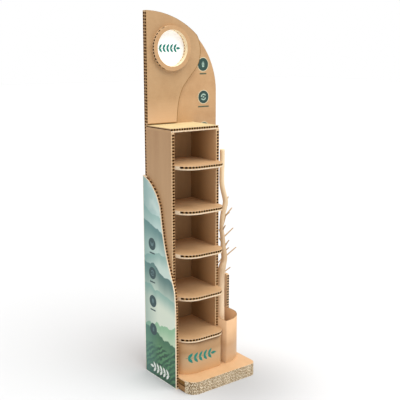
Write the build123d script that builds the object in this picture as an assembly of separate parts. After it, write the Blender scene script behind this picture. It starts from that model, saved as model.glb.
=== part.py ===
from build123d import *
import math
import os

# Free-standing shop display built from fluted cardboard.
# X runs to the right along the front, Y runs to the back, Z runs up, sizes are millimetres.
# While the pieces are worked out, X is 0 on the outer face of the cabinet's left wall and
# Y is 0 on the front edges of the cabinet's walls. The last step moves every piece so that
# the origin is on the floor in the middle of the outer box.

# Boards
display_board = 14.5
cabinet_board = 18.0
base_board = 16.0
bent_board = 4.0
back_board = 8.0
card_thickness = 1.5

# Flutes: rows of gaps under the outer liner of a board, open at its cut edges
flute_pitch = 14.5
flute_width = 11.5
flute_height = 10.5
liner = 1.5
flute_taper = 150.0
wall_flute_inset = 4.0
edge_margin = 2.0
cut_overrun = 5.0

# Cabinet
cabinet_width = 280.0
cabinet_depth = 212.0
cabinet_height = 1206.0
shelf_count = 5
top_compartment = 154.0
kick_height = 166.4
shelf_overhang = 79.0
shelf_left_sweep = 95.0
shelf_right_sweep = 60.0
shelf_right_round = 70.0
shelf_end_inset = 5.0

# Base
base_count = 4
base_forward = 152.0
base_left_round = 53.0
base_right_round = 36.0

# Outer boards
header_rise = 536.0
crown_height = 390.0
left_panel_height = 1026.0
left_panel_forward = 46.0
left_sweep_drop = 640.0
right_panel_height = 470.0
right_panel_depth = 121.0
right_panel_round = 12.0

# Kick panel
kick_inset = 9.0
kick_right_sweep = 45.0
kick_right_round = 62.0
kick_flange = 30.0

# Bin
bin_width = 131.5
bin_height = 227.0
bin_forward = 67.0
bin_fold_flat = 6.5
bin_sweep_y = 110.0

# Header and badge
header_gap = 4.0
badge_drop = 173.5
badge_radius = 107.0
badge_hole_radius = 87.0
disc_clearance = 0.5

# Branch
branch_left_gap = 34.0
branch_y = 16.0

# Places that follow from the sizes
base_height = base_count * base_board
cabinet_top_z = base_height + cabinet_height
wall_top_z = cabinet_top_z - cabinet_board
inner_left = cabinet_board
inner_right = cabinet_width - cabinet_board
back_face_y = cabinet_depth - back_board
base_width = cabinet_width + bin_width
stand_width = base_width + display_board
stand_height = cabinet_top_z + header_rise
rear_y = cabinet_depth + display_board
kick_top_z = base_height + kick_height
lowest_shelf_z = kick_top_z + cabinet_board
shelf_pitch = (wall_top_z - top_compartment - lowest_shelf_z) / (shelf_count - 1)
shelf_tops = []
for index in range(shelf_count):
    shelf_tops.append(wall_top_z - top_compartment - index * shelf_pitch)
bin_top_z = base_height + bin_height
bin_sweep_x = bin_width - bin_fold_flat

centre_x = (stand_width - display_board) / 2
centre_y = (rear_y - base_forward) / 2
to_origin = Location((-centre_x, -centre_y, 0))

os.makedirs("parts", exist_ok=True)


def write(piece, name):
    # Puts the origin in place, names the piece and writes its file.
    placed = piece.moved(to_origin)
    placed.label = name
    export_step(placed, "parts/" + name + ".step")


def quarter(cx, cy, rx, ry, start, end, steps):
    # Points on part of an ellipse, angles in degrees. Board edges are cut in short
    # straight steps, so that every flute gap opens on a flat strip.
    points = []
    for step in range(steps + 1):
        angle = math.radians(start + (end - start) * step / steps)
        points.append((cx + rx * math.cos(angle), cy + ry * math.sin(angle)))
    return points


def sweep_points(curve, steps):
    # Points at equal steps along a drawn curve.
    points = []
    for step in range(steps + 1):
        place = curve @ (step / steps)
        points.append((place.X, place.Y))
    return points


def flute_bars(run, run_from, run_to, stack, stack_from, stack_to, face_at, inward):
    # Three-sided bars that cut the flutes. They run along one axis past both ends of the
    # board, are stacked along another between its edges, and their flat side lies at
    # face_at on the third, pointing inward.
    bars = []
    for middle in flute_places(stack_from, stack_to):
        start = run_from - cut_overrun
        corners = mouth_corners(run, start, stack, middle, face_at, inward)
        length = run_to - run_from + 2 * cut_overrun
        along = {"x": (length, 0, 0), "y": (0, length, 0), "z": (0, 0, length)}[run]
        face = Face(Wire.make_polygon(corners, close=True))
        bars.append(Solid.extrude(face, Vector(*along)))
    return bars


def flute_spikes(front_edge, stack, stack_from, stack_to, face_at, inward):
    # The same gaps in a board whose rear edge is out of sight. Each opens at the front
    # edge, which front_edge gives at its place, and narrows to a point inside the board.
    spikes = []
    for middle in flute_places(stack_from, stack_to):
        start = front_edge(middle) - cut_overrun
        corners = mouth_corners("y", start, stack, middle, face_at, inward)
        tip = Vector(*corners[2]) + Vector(0, flute_taper, 0)
        mouth = Wire.make_polygon(corners, close=True)
        spikes.append(Solid.make_loft([mouth, Vertex(tip)], ruled=True))
    return spikes


def flute_places(stack_from, stack_to):
    # Middles of the flutes that fit between two edges of a board.
    count = int((stack_to - stack_from - 2 * edge_margin) / flute_pitch)
    first = (stack_from + stack_to - (count - 1) * flute_pitch) / 2
    return [first + number * flute_pitch for number in range(count)]


def mouth_corners(run, run_at, stack, middle, face_at, inward):
    # Corners of one flute's mouth: two on the outer liner and one deeper in the board.
    third = ({"x", "y", "z"} - {run, stack}).pop()
    corners = []
    for side, depth in ((-0.5, 0.0), (0.5, 0.0), (0.0, 1.0)):
        place = {run: run_at}
        place[stack] = middle + side * flute_width
        place[third] = face_at + inward * depth * flute_height
        corners.append((place["x"], place["y"], place["z"]))
    return corners


def front_of(outline):
    # For a board drawn from above: a rule that gives the front edge at a place along X.
    def front_edge(x):
        found = []
        for number in range(len(outline)):
            x1, y1 = outline[number - 1]
            x2, y2 = outline[number]
            if min(x1, x2) <= x <= max(x1, x2) and x1 != x2:
                found.append(y1 + (y2 - y1) * (x - x1) / (x2 - x1))
        return min(found)

    return front_edge


def cabinet_front(place):
    # The front edges of the cabinet's walls and top are straight, at Y 0.
    return 0.0


def cut_all(blank, bars):
    # One solid after all the bars are taken out.
    result = blank.cut(*bars)
    return result.solids().sort_by(SortBy.VOLUME)[-1]


def block(x_from, x_to, y_from, y_to, z_from, z_to):
    # A plain board given by its two opposite corners.
    size = (x_to - x_from, y_to - y_from, z_to - z_from)
    corner = Location((x_from, y_from, z_from))
    return Solid.make_box(*size).moved(corner)


def board(plane, outline, thickness):
    # A board whose outline is drawn on a plane, thickened along that plane's normal.
    face = Face(Wire.make_polygon([(x, y, 0) for x, y in outline], close=True))
    return Solid.extrude(plane.from_local_coords(face), plane.z_dir * thickness)


# Base: four boards glued in a stack, all the same, flutes from front to back.
# The front left corner is rounded wider than the front right one.
base_outline = [(0, cabinet_depth)]
base_outline += quarter(
    base_left_round,
    base_left_round - base_forward,
    base_left_round,
    base_left_round,
    180,
    270,
    7,
)
base_outline += quarter(
    base_width - base_right_round,
    base_right_round - base_forward,
    base_right_round,
    base_right_round,
    270,
    360,
    6,
)
base_outline.append((base_width, cabinet_depth))
for number in range(base_count):
    bottom_z = number * base_board
    blank = board(Plane.XY.offset(bottom_z), base_outline, base_board)
    flute_face = bottom_z + base_board - liner
    spikes = flute_spikes(front_of(base_outline), "x", 0, base_width, flute_face, -1)
    write(cut_all(blank, spikes), "base_board_" + str(number + 1))

# Backboard: stands on the floor behind the base. Its top falls in a quarter ellipse from
# the top left corner to the right edge. Flutes run from side to side.
crown_start_z = stand_height - crown_height
back_outline = [(0, 0), (stand_width, 0)]
back_outline += quarter(0, crown_start_z, stand_width, crown_height, 0, 90, 20)
blank = board(Plane.XZ.offset(-rear_y), back_outline, display_board)
bars = flute_bars(
    "x", 0, stand_width, "z", 0, stand_height - liner, cabinet_depth + liner, 1
)
write(cut_all(blank, bars), "backboard")

# Left side panel: stands on the floor against the base, the cabinet and the backboard.
# Its front edge sweeps from the top rear corner down to an upright lower part. The sweep
# is given as shares of the panel's depth from its front and of the sweep's drop.
left_sweep = [
    (1.0, 0.0),
    (0.815, 0.034),
    (0.683, 0.077),
    (0.576, 0.127),
    (0.506, 0.178),
    (0.459, 0.228),
    (0.404, 0.361),
    (0.327, 0.505),
    (0.220, 0.638),
    (0.118, 0.738),
    (0.032, 0.834),
    (0.0, 1.0),
]
left_depth = rear_y + left_panel_forward
left_points = []
for depth_share, drop_share in left_sweep:
    left_points.append(
        (
            depth_share * left_depth - left_panel_forward,
            left_panel_height - drop_share * left_sweep_drop,
        )
    )
sweep = Spline(*left_points, tangents=[(-1, -0.3), (0, -1)])
left_outline = sweep_points(sweep, 26)
left_outline += [(-left_panel_forward, 0), (rear_y, 0)]
blank = board(Plane.YZ.offset(-display_board), left_outline, display_board)
bars = flute_bars(
    "y", -left_panel_forward, rear_y, "z", 0, left_panel_height - liner, -liner, -1
)
write(cut_all(blank, bars), "side_panel_left")

# Right side panel: low board on the floor against the base, in front of the backboard.
right_front_y = cabinet_depth - right_panel_depth
right_outline = [(right_front_y, 0), (cabinet_depth, 0), (cabinet_depth, right_panel_height)]
right_outline += quarter(
    right_front_y + right_panel_round,
    right_panel_height - right_panel_round,
    right_panel_round,
    right_panel_round,
    90,
    180,
    5,
)
blank = board(Plane.YZ.offset(base_width), right_outline, display_board)
bars = flute_bars(
    "y", right_front_y, cabinet_depth, "z", 0, right_panel_height, stand_width - liner, -1
)
write(cut_all(blank, bars), "side_panel_right")

# Cabinet walls: two equal boards on the base. The flutes run from front to back near the
# middle of each wall's thickness.
for left_x, name in ((0.0, "cabinet_wall_left"), (inner_right, "cabinet_wall_right")):
    blank = block(left_x, left_x + cabinet_board, 0, cabinet_depth, base_height, wall_top_z)
    flute_face = left_x + cabinet_board - wall_flute_inset
    spikes = flute_spikes(cabinet_front, "z", base_height, wall_top_z, flute_face, -1)
    write(cut_all(blank, spikes), name)

# Cabinet back: a plain board between the walls, glued on the backboard.
cabinet_back = block(
    inner_left, inner_right, back_face_y, cabinet_depth, base_height, wall_top_z
)
write(cabinet_back, "cabinet_back")

# Cabinet top: lies on both walls and on the back, flush with the walls' front edges.
blank = block(0, cabinet_width, 0, cabinet_depth, wall_top_z, cabinet_top_z)
spikes = flute_spikes(cabinet_front, "x", 0, cabinet_width, cabinet_top_z - liner, -1)
write(cut_all(blank, spikes), "cabinet_top")

# Shelves: each fits between the walls and swells forward in front of them. On the right
# it also covers the front edge of the wall.
shelf_right = cabinet_width - shelf_end_inset
shelf_outline = [(inner_right, 0), (inner_right, back_face_y), (inner_left, back_face_y)]
shelf_outline += quarter(
    inner_left + shelf_left_sweep, 0, shelf_left_sweep, shelf_overhang, 180, 270, 8
)
shelf_outline += quarter(
    shelf_right - shelf_right_sweep,
    shelf_right_round - shelf_overhang,
    shelf_right_sweep,
    shelf_right_round,
    270,
    360,
    7,
)
shelf_outline.append((shelf_right, 0))
for number in range(shelf_count):
    top_z = shelf_tops[number]
    blank = board(Plane.XY.offset(top_z - cabinet_board), shelf_outline, cabinet_board)
    spikes = flute_spikes(
        front_of(shelf_outline), "x", inner_left, inner_right, top_z - liner, -1
    )
    write(cut_all(blank, spikes), "shelf_" + str(number + 1))

# Kick panel: a thin board bent round under the edge of the lowest shelf, from a flange
# glued inside the left wall to the front edge of the right wall.
kick_forward = shelf_overhang - kick_inset
kick_right = cabinet_width - kick_inset
kick_left_sweep = shelf_left_sweep - kick_inset
kick_left_centre = inner_left + kick_left_sweep
kick_right_centre = kick_right - kick_right_sweep
kick_right_y = kick_right_round - kick_forward
kick_outline = [(inner_left, kick_flange)]
kick_outline += quarter(kick_left_centre, 0, kick_left_sweep, kick_forward, 180, 270, 10)
kick_outline += quarter(
    kick_right_centre, kick_right_y, kick_right_sweep, kick_right_round, 270, 360, 8
)
kick_outline += [(kick_right, 0), (kick_right - bent_board, 0)]
kick_outline += quarter(
    kick_right_centre,
    kick_right_y,
    kick_right_sweep - bent_board,
    kick_right_round - bent_board,
    360,
    270,
    8,
)
kick_outline += quarter(
    kick_left_centre,
    0,
    kick_left_sweep - bent_board,
    kick_forward - bent_board,
    270,
    180,
    10,
)
kick_outline.append((inner_left + bent_board, kick_flange))
kick_panel = board(Plane.XY.offset(base_height), kick_outline, kick_height)
write(kick_panel, "kick_panel")

# Bin: a thin board folded once at the front left and bent round to the right panel.
# It is open at the top, and the backboard and the base close it behind and below.
bin_centre_x = base_width - bin_sweep_x
bin_centre_y = bin_sweep_y - bin_forward
bin_outline = [(cabinet_width, cabinet_depth), (cabinet_width, -bin_forward)]
bin_outline += quarter(bin_centre_x, bin_centre_y, bin_sweep_x, bin_sweep_y, 270, 360, 14)
bin_outline += [(base_width, cabinet_depth), (base_width - bent_board, cabinet_depth)]
bin_outline += quarter(
    bin_centre_x,
    bin_centre_y,
    bin_sweep_x - bent_board,
    bin_sweep_y - bent_board,
    360,
    270,
    14,
)
bin_outline.append((cabinet_width + bent_board, bent_board - bin_forward))
bin_outline.append((cabinet_width + bent_board, cabinet_depth))
bin_wrap = board(Plane.XY.offset(base_height), bin_outline, bin_height)
write(bin_wrap, "bin_wrap")

# Header panel: glued on the backboard above the cabinet, with the same left edge and
# crown. On the right it leaves the crown, swells and sweeps back down to the left. That
# edge is given as shares of the stand's width and of the height down to the panel's foot.
header_front_y = cabinet_depth - display_board
header_bottom_z = cabinet_top_z + header_gap
leave_angle = 45.9
leave_x = stand_width * math.cos(math.radians(leave_angle))
leave_z = crown_start_z + crown_height * math.sin(math.radians(leave_angle))
header_sweep = [
    (0.725, 0.934),
    (0.744, 0.802),
    (0.704, 0.656),
    (0.592, 0.526),
    (0.484, 0.389),
    (0.427, 0.219),
    (0.404, 0.0),
]
header_points = [(leave_x, leave_z)]
for width_share, height_share in header_sweep:
    header_points.append(
        (
            width_share * stand_width,
            header_bottom_z + height_share * (leave_z - header_bottom_z),
        )
    )
header_edge = Spline(*header_points, tangents=[(0.35, -1), (0, -1)])
header_outline = quarter(
    0, crown_start_z, stand_width, crown_height, 90, leave_angle, 10
)
header_outline += sweep_points(header_edge, 26)[1:]
header_outline.append((0, header_bottom_z))
blank = board(Plane.XZ.offset(-cabinet_depth), header_outline, display_board)
badge_x = 0.323 * stand_width
badge_z = stand_height - badge_drop
bars = flute_bars(
    "x", 0, stand_width, "z", header_bottom_z, stand_height - liner, header_front_y + liner, 1
)
hole_outline = quarter(badge_x, badge_z, badge_hole_radius, badge_hole_radius, 0, 360, 44)
hole = board(Plane.XZ.offset(-cabinet_depth), hole_outline[:-1], display_board)
write(cut_all(blank, bars + [hole]), "header_panel")

# Badge ring: a round fluted frame on the header, its hole in line with the header's.
ring_face_y = header_front_y - cabinet_board
ring_outline = quarter(badge_x, badge_z, badge_radius, badge_radius, 0, 360, 44)
blank = board(Plane.XZ.offset(-header_front_y), ring_outline[:-1], cabinet_board)
hole = board(Plane.XZ.offset(-header_front_y), hole_outline[:-1], cabinet_board)
bars = flute_bars(
    "x",
    badge_x - badge_radius,
    badge_x + badge_radius,
    "z",
    badge_z - badge_radius,
    badge_z + badge_radius,
    ring_face_y + liner,
    1,
)
write(cut_all(blank, bars + [hole]), "badge_ring")

# Badge disc: plain card inside the header's hole, glued on the backboard.
disc_radius = badge_hole_radius - disc_clearance
disc_outline = quarter(badge_x, badge_z, disc_radius, disc_radius, 0, 360, 44)
badge_disc = board(Plane.XZ.offset(-cabinet_depth), disc_outline[:-1], card_thickness)
write(badge_disc, "badge_disc")

# Branch: a natural stem with short twigs, standing on the base inside the bin. Stations
# up the stem give its centre to the right of the foot's and above the base, and radius.
branch_x = cabinet_width + branch_left_gap
stem_stations = [
    (-4, 0, 20.0),
    (-4, 210, 19.4),
    (-5, 297, 18.9),
    (-5, 377, 18.6),
    (-3, 446, 18.6),
    (4, 482, 19.0),
    (14, 512, 16.4),
    (17, 530, 15.4),
    (14, 560, 14.8),
    (9, 590, 13.2),
    (8, 615, 12.4),
    (4, 645, 11.8),
    (-1, 683, 10.8),
    (-1, 715, 10.8),
    (6, 756, 12.8),
    (14, 785, 13.4),
    (22, 813, 13.2),
    (20, 836, 13.2),
    (8, 874, 12.6),
    (-1, 912, 12.0),
    (-2, 967, 11.9),
    (0, 1032, 11.8),
    (0, 1085, 12.0),
]
# Twigs: foot inside the stem and cut tip, each as X, Y, Z from the stem's foot, and the
# radius at the foot. The first is a side stem that carries the next two.
twigs = [
    ((0, 0, 684), (31, 4, 755), 5.2),
    ((27, 3, 748), (76, 14, 779), 3.6),
    ((27, 3, 748), (44, -6, 764), 3.6),
    ((20, 0, 812), (47, 8, 841), 3.6),
    ((0, 0, 668), (1, -28, 708), 3.6),
    ((4, 0, 633), (88, 18, 671), 3.6),
    ((9, 0, 584), (36, -15, 623), 3.6),
    ((10, 0, 578), (40, 4, 604), 3.6),
    ((14, 0, 560), (31, -20, 586), 3.6),
    ((17, 0, 532), (98, 4, 571), 3.6),
    ((-2, 0, 446), (68, 14, 466), 3.6),
    ((6, 0, 606), (-20, -4, 640), 3.6),
    ((-1, 0, 655), (-21, -4, 684), 3.6),
    ((8, 0, 535), (-21, 0, 510), 3.6),
]
twig_tip_radius = 2.6
stem_sides = 14
twig_sides = 6
sections = []
for x, z, radius in stem_stations:
    plane = Plane(origin=(branch_x + x, branch_y, base_height + z))
    ring = quarter(0, 0, radius, radius, 0, 360, stem_sides)[:-1]
    corners = [plane.from_local_coords(Vector(u, v, 0)) for u, v in ring]
    sections.append(Wire.make_polygon(corners, close=True))
branch = Solid.make_loft(sections, ruled=True)
for foot, tip, foot_radius in twigs:
    start = Vector(branch_x + foot[0], branch_y + foot[1], base_height + foot[2])
    end = Vector(branch_x + tip[0], branch_y + tip[1], base_height + tip[2])
    ends = []
    for origin, radius in ((start, foot_radius), (end, twig_tip_radius)):
        plane = Plane(origin=origin, z_dir=end - start)
        ring = quarter(0, 0, radius, radius, 0, 360, twig_sides)[:-1]
        corners = [plane.from_local_coords(Vector(u, v, 0)) for u, v in ring]
        ends.append(Wire.make_polygon(corners, close=True))
    branch = branch.fuse(Solid.make_loft(ends, ruled=True)).solids()[0]
write(branch, "branch")
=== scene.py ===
import bpy
import bmesh
import math
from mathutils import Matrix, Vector, noise


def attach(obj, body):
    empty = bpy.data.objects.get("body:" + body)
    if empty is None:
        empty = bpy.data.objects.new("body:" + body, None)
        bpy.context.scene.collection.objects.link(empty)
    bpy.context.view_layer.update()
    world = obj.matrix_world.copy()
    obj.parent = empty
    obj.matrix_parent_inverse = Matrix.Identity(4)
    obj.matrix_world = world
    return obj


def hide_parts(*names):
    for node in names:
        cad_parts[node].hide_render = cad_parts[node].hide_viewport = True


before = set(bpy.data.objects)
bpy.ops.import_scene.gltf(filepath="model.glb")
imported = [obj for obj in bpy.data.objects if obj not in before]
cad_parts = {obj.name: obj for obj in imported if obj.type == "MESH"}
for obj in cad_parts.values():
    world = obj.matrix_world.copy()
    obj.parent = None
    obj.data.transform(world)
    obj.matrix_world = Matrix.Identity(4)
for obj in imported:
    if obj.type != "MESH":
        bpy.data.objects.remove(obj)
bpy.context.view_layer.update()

# Camera
# The photograph's view: a 63 mm lens on a 36 mm wide sensor, 3.7 m from the stand, looking
# from the front left and a little down.
camera_data = bpy.data.cameras.new("photo_camera")
camera_data.lens = 63.12
camera_data.sensor_width = 36.0
camera_data.clip_end = 60.0
look_down, look_right = 0.2080, 0.6427
camera = bpy.data.objects.new("photo_camera", camera_data)
camera.location = (-2.02334, -2.68585, 1.61479)
camera.rotation_euler = (math.pi / 2 - look_down, 0.0, -look_right)
bpy.context.scene.collection.objects.link(camera)
bpy.context.scene.camera = camera
bpy.context.scene.view_settings.view_transform = "Standard"


# Studio
# A plain pale floor that runs to the horizon, one very wide lamp overhead and to the front
# right, and a dim even sky. The camera and reflections see the sky as white.
def linear(colour):
    # "#rrggbb" as linear red, green, blue and alpha.
    rgb = [int(colour[i : i + 2], 16) / 255 for i in (1, 3, 5)]
    return [p / 12.92 if p <= 0.04045 else ((p + 0.055) / 1.055) ** 2.4 for p in rgb] + [1.0]


def add_node(tree, kind, inputs=None, **settings):
    # One node with its settings. An input takes a value, a "#rrggbb" colour, an output of
    # another node, or the node itself for its first output.
    made = tree.nodes.new(kind)
    for name, value in settings.items():
        setattr(made, name, value)
    for name, value in (inputs or {}).items():
        if isinstance(value, str):
            value = linear(value)
        elif isinstance(value, bpy.types.Node):
            value = value.outputs[0]
        if isinstance(value, bpy.types.NodeSocket):
            tree.links.new(value, made.inputs[name])
        else:
            made.inputs[name].default_value = value
    return made


def laid_over(tree, under, over, value, low, high, curve="LINEAR", most=1.0):
    # One colour laid over another: none where the value is low, the share most where high.
    inputs = {"Value": value, "From Min": low, "From Max": high, "To Max": most}
    share = add_node(tree, "ShaderNodeMapRange", inputs, interpolation_type=curve)
    both = {0: share, 6: under, 7: over}
    return add_node(tree, "ShaderNodeMix", both, data_type="RGBA").outputs[2]


def start_material(name):
    # An empty material: itself, its node tree and the place on the object.
    made = bpy.data.materials.new(name)
    made.use_nodes = True
    tree = made.node_tree
    tree.nodes.clear()
    place = add_node(tree, "ShaderNodeTexCoord").outputs["Object"]
    return made, tree, place


def finish_material(tree, look, *reliefs):
    # A surface of that look, with reliefs: each a height, a strength and a depth in metres.
    for height, strength, depth in reliefs:
        relief = {"Height": height, "Strength": strength, "Distance": depth}
        if "Normal" in look:
            relief["Normal"] = look["Normal"]
        look["Normal"] = add_node(tree, "ShaderNodeBump", relief)
    surface = add_node(tree, "ShaderNodeBsdfPrincipled", look)
    add_node(tree, "ShaderNodeOutputMaterial", {"Surface": surface})


# Matt painted floor: a very pale grey with faint patches, greyed round the stand by a
# painted shadow.
floor_material, tree, place = start_material("matt_painted_floor")
patches = add_node(tree, "ShaderNodeTexNoise", {"Scale": 3.0, "Detail": 2.0})
tint = laid_over(tree, "#d6d7d9", "#d3d4d6", patches, 0.0, 1.0)
painted_shadow_middle, painted_shadow_reach = (0.05, -0.18, 0.0), 0.55
inputs = {0: place, 1: painted_shadow_middle}
away = add_node(tree, "ShaderNodeVectorMath", inputs, operation="DISTANCE").outputs["Value"]
tint = laid_over(tree, tint, "#aeafb1", away, painted_shadow_reach, 0.0, "SMOOTHSTEP")
finish_material(tree, {"Base Color": tint, "Roughness": 0.9})

bpy.ops.mesh.primitive_plane_add(size=60.0, location=(0, 0, 0))
floor = bpy.context.object
floor.name = "studio_floor"
floor.data.materials.append(floor_material)

world = bpy.data.worlds.new("studio_sky")
bpy.context.scene.world = world
world.use_nodes = True
tree = world.node_tree
tree.nodes.clear()
rays = add_node(tree, "ShaderNodeLightPath").outputs
seen = rays["Is Camera Ray"]
for ray in ("Is Glossy Ray", "Is Transmission Ray"):
    seen = add_node(tree, "ShaderNodeMath", {0: seen, 1: rays[ray]}, operation="MAXIMUM")
dim_sky = add_node(tree, "ShaderNodeBackground", {"Color": "#fffefd", "Strength": 0.5})
white_sky = add_node(tree, "ShaderNodeBackground", {"Color": "#ffffff", "Strength": 1.0})
either = add_node(tree, "ShaderNodeMixShader", {0: seen, 1: dim_sky, 2: white_sky})
add_node(tree, "ShaderNodeOutputWorld", {"Surface": either})

softbox_data = bpy.data.lights.new("overhead_softbox", "SUN")
softbox_data.angle = math.radians(62.0)
softbox_data.energy = 3.5
softbox_data.color = linear("#fffefb")[:3]
softbox = bpy.data.objects.new("overhead_softbox", softbox_data)
shines_from = Vector((0.12, -0.36, 0.90))
softbox.rotation_euler = (-shines_from).to_track_quat("-Z", "Y").to_euler()
bpy.context.scene.collection.objects.link(softbox)


# Base
# Four sheets of double-wall corrugated board, die cut to one outline with rounded front
# corners and glued in a stack. The cut edge shows the open flutes of each sheet.
base_width, base_front, base_height = 411.5, -152.0, 64.0
cabinet_depth, display_board, flute_pitch = 212.0, 14.5, 14.5
back_y = cabinet_depth + display_board


def row(x, y, z):
    # Working millimetres (cabinet's left front edge, floor) to metres in the row frame.
    return ((x - base_width / 2) / 1000, (y - (base_front + back_y) / 2) / 1000, z / 1000)


def arc(cx, cy, rx, ry, start, end, steps):
    # Points on part of an ellipse, angles in degrees.
    angles = [math.radians(start + (end - start) * i / steps) for i in range(steps + 1)]
    return [(cx + rx * math.cos(a), cy + ry * math.sin(a)) for a in angles]


def spans(outlines, s):
    # Where a line across the drawn outlines at s lies inside them, as pairs along r.
    found = []
    for points in outlines:
        for (s1, r1), (s2, r2) in zip(points, points[1:] + points[:1]):
            if (s1 <= s) != (s2 <= s):
                found.append(r1 + (r2 - r1) * (s - s1) / (s2 - s1))
    found.sort()
    return list(zip(found[0::2], found[1::2]))


def not_shared(before, after):
    # Stretches along r that only one of two rows of spans covers.
    ends = sorted(r for pair in before + after for r in pair)
    kept = []
    for low, high in zip(ends, ends[1:]):
        middle = (low + high) / 2
        covered = [any(a < middle < b for a, b in side) for side in (before, after)]
        if covered[0] != covered[1] and high - low > 0.02:
            kept.append((low, high))
    return kept


def finish_piece(name, mesh, materials):
    # Turns the drawn mesh into a named object with its materials.
    data = bpy.data.meshes.new(name)
    mesh.to_mesh(data)
    mesh.free()
    for material in materials:
        data.materials.append(material)
    made = bpy.data.objects.new(name, data)
    bpy.context.scene.collection.objects.link(made)
    return made


def fluted_board(name, outlines, place, thick, pitch, width, rows, flutes, papers,
                 jitter=0.06, painted_rim_widths=(0.8, 0.8)):
    # A board with rows of open flutes. s runs across the flutes, r along them, w through
    # the board, and place(s, r, w) gives the point. rows: each row's middle, mouth height
    # and shift along s. flutes: first middle and number. papers: face (w = 0), far_face,
    # edge, inside and, where it isn't the edge's, side (edges along the flutes), web
    # (between mouths) and rim (both faces' last millimetres at low and high r: a pale rim is
    # partly wear and partly painted highlight, a dark one painted shadow).
    first, count = flutes
    slots = []
    for material in papers.values():
        if material not in slots:
            slots.append(material)
    mesh = bmesh.new()

    def face(corners, role):
        made = mesh.faces.new([mesh.verts.new(row(*place(*c))) for c in corners])
        made.material_index = slots.index(papers.get(role, papers["edge"]))

    def half_height(s, row_number):
        # Half of a mouth's height at s. Each mouth differs a little, seeded by the name.
        middle, height, shift = rows[row_number]
        nearest = round((s - first - shift) / pitch)
        across = abs(s - first - shift - nearest * pitch) / (width / 2)
        if nearest < 0 or nearest >= count or across >= 0.999:
            return 0.0
        seed = Vector((nearest * 1.7, row_number * 9.1, len(name) * 3.1))
        return height / 2 * (1 + jitter * noise.noise(seed)) * (1 - across**3) ** 0.4

    def solid_parts(s):
        # Where the board is solid through its thickness at s.
        edges = [0.0]
        for number, (middle, height, shift) in enumerate(rows):
            half = half_height(s, number)
            edges += [middle - half, middle + half]
        edges.append(thick)
        return list(zip(edges[0::2], edges[1::2]))

    def bands(p, q, k):
        # Solid part k from p to q, split where it passes the mouths: web, edge, web.
        low = rows[k - 1][0] + rows[k - 1][1] / 2 if k > 0 else p
        high = rows[k][0] - rows[k][1] / 2 if k < len(rows) else q
        return [p, min(max(p, low), q), max(min(q, high), p), q]

    def strips(r1, r2):
        # A face from r1 to r2, split off its two rims, where the painted edge highlight or
        # shadow lies.
        third = (r2 - r1) / 3
        return [r1, r1 + min(painted_rim_widths[0], third), r2 - min(painted_rim_widths[1], third), r2]

    # The board is cut across its flutes at each corner of the outline and nine times in
    # each mouth, and drawn as slices between the cuts. Slivers are skipped.
    cuts = {round(s, 4) for points in outlines for s, r in points}
    for number in range(count):
        for middle, height, shift in rows:
            for share in (-1.0, -0.93, -0.75, -0.4, 0.0, 0.4, 0.75, 0.93, 1.0):
                cuts.add(round(first + shift + number * pitch + share * width / 2, 4))
    low, high = min(outlines[0])[0], max(outlines[0])[0]
    cuts = sorted(s for s in cuts if low <= s <= high)
    cuts = [s for s, after in zip(cuts, cuts[1:] + [1e9]) if after - s > 0.01]
    mouths_from, mouths_to = first - width / 2, first + (count - 1) * pitch + width / 2

    before = []
    for s1, s2 in zip(cuts, cuts[1:]):
        a, b = spans(outlines, s1 + 0.003), spans(outlines, s2 - 0.003)
        if len(a) != len(b):
            a = b = spans(outlines, (s1 + s2) / 2)
        solid1, solid2 = solid_parts(s1), solid_parts(s2)
        webbed = "web" in papers and mouths_from < (s1 + s2) / 2 < mouths_to
        for (a1, a2), (b1, b2) in zip(a, b):
            roles = (("rim", "rim"), ("face", "far_face"), ("rim", "rim"))
            one, two = strips(a1, a2), strips(b1, b2)
            for a3, a4, b3, b4, (near, far) in zip(one, one[1:], two, two[1:], roles):
                face([(s1, a3, 0), (s1, a4, 0), (s2, b4, 0), (s2, b3, 0)], near)
                far_corners = [(s1, a3), (s2, b3), (s2, b4), (s1, a4)]
                face([(s, r, thick) for s, r in far_corners], far)
            for k, ((p1, q1), (p2, q2)) in enumerate(zip(solid1, solid2)):
                one, two, roles = [p1, q1], [p2, q2], ["edge"]
                if webbed:
                    one, two = bands(p1, q1, k), bands(p2, q2, k)
                    roles = ["web", "edge", "web"]
                for c1, d1, c2, d2, role in zip(one, one[1:], two, two[1:], roles):
                    if max(d1 - c1, d2 - c2) > 0.005:
                        face([(s1, a1, c1), (s2, b1, c2), (s2, b1, d2), (s1, a1, d1)], role)
                        face([(s1, a2, c1), (s1, a2, d1), (s2, b2, d2), (s2, b2, c2)], role)
            for k in range(len(rows)):
                q1, p1 = solid1[k][1], solid1[k + 1][0]
                q2, p2 = solid2[k][1], solid2[k + 1][0]
                if max(p1 - q1, p2 - q2) > 0.02:
                    face([(s1, a1, q1), (s1, a2, q1), (s2, b2, q2), (s2, b1, q2)], "inside")
                    face([(s1, a1, p1), (s2, b1, p2), (s2, b2, p2), (s1, a2, p1)], "inside")
        for r1, r2 in not_shared(before, a):
            for p, q in solid1:
                face([(s1, r1, p), (s1, r2, p), (s1, r2, q), (s1, r1, q)], "side")
        before = b
    for r1, r2 in not_shared(before, []):
        for p, q in solid_parts(cuts[-1]):
            face([(s2, r1, p), (s2, r2, p), (s2, r2, q), (s2, r1, q)], "side")
    bmesh.ops.remove_doubles(mesh, verts=mesh.verts, dist=0.00001)
    bmesh.ops.recalc_face_normals(mesh, faces=mesh.faces)
    return finish_piece(name, mesh, slots)


def lay_painted_light_and_shade(tree, place, tint, painted_light_and_shade):
    # Lays painted light and shade over a tint, as tones that grow toward one end. Each: an
    # axis, the place along it (metres) where the tone is full, where it is gone, and its
    # colour.
    for axis, full, gone, colour in painted_light_and_shade:
        along = add_node(tree, "ShaderNodeSeparateXYZ", {0: place}).outputs[axis]
        tint = laid_over(tree, tint, colour, along, gone, full)
    return tint


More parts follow.
